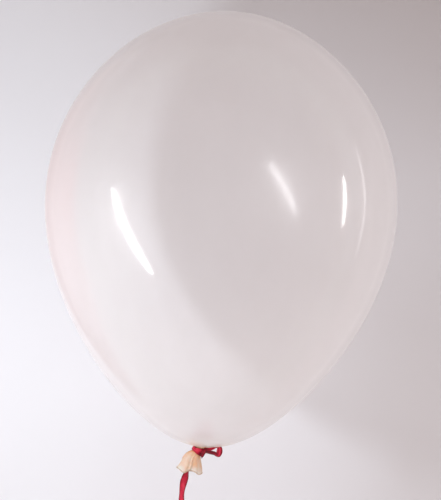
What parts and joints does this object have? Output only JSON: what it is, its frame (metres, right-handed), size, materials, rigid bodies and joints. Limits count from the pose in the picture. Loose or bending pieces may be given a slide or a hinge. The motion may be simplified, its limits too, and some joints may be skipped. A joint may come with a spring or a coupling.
{
  "type": "latex balloon",
  "caption": "Blown latex balloon, its neck tied shut with a satin ribbon that ends in a small bow on one side and a long tail put away as a hank.",
  "frame": {"origin": "the tie, on the bulb's axis", "axes": "+Z from the tie to the crown; the knot and the bow face -Y, and the bow points to +X"},
  "size_m": [0.2917, 0.2918, 0.5442],
  "materials": {
    "film": "thin blown latex, milky and see-through, glossy",
    "thick_latex": "unblown natural latex, cream, satin",
    "ribbon": "satin weave ribbon, crimson"
  },
  "bodies": {
    "tie": {"neck_gather": "thick_latex", "ribbon_turns": "ribbon", "ribbon_knot": "ribbon", "ribbon_short_end": "ribbon"},
    "bulb": {"envelope": "film", "crown_patch": "film", "throat": "film"},
    "collar": {"neck_collar": "thick_latex", "rolled_lip": "thick_latex"},
    "bow": {"bow_loop": "ribbon"},
    "tail": {"ribbon_tail": "ribbon", "ribbon_hank": "ribbon", "hank_tie": "ribbon"}
  },
  "joints": [
    {"name": "bulb_sway", "type": "hinge", "parent": "tie", "child": "bulb", "pos_m": [0, 0, 0], "axis": [0, 1, 0], "range_deg": [-5, 5], "stiffness_Nm_per_rad": 0.03},
    {"name": "collar_flex", "type": "hinge", "parent": "tie", "child": "collar", "pos_m": [-0.0069, 0, -0.0072], "axis": [0, 1, 0], "range_deg": [-20, 30], "stiffness_Nm_per_rad": 0.0002},
    {"name": "bow_flex", "type": "hinge", "parent": "tie", "child": "bow", "pos_m": [-0.001, -0.0068, -0.0012], "axis": [0, 1, 0], "range_deg": [0, 30], "stiffness_Nm_per_rad": 0.00002},
    {"name": "tail_swing", "type": "hinge", "parent": "tie", "child": "tail", "pos_m": [-0.0065, 0.0064, -0.0045], "axis": [0, 1, 0], "range_deg": [-60, 60]}
  ]
}
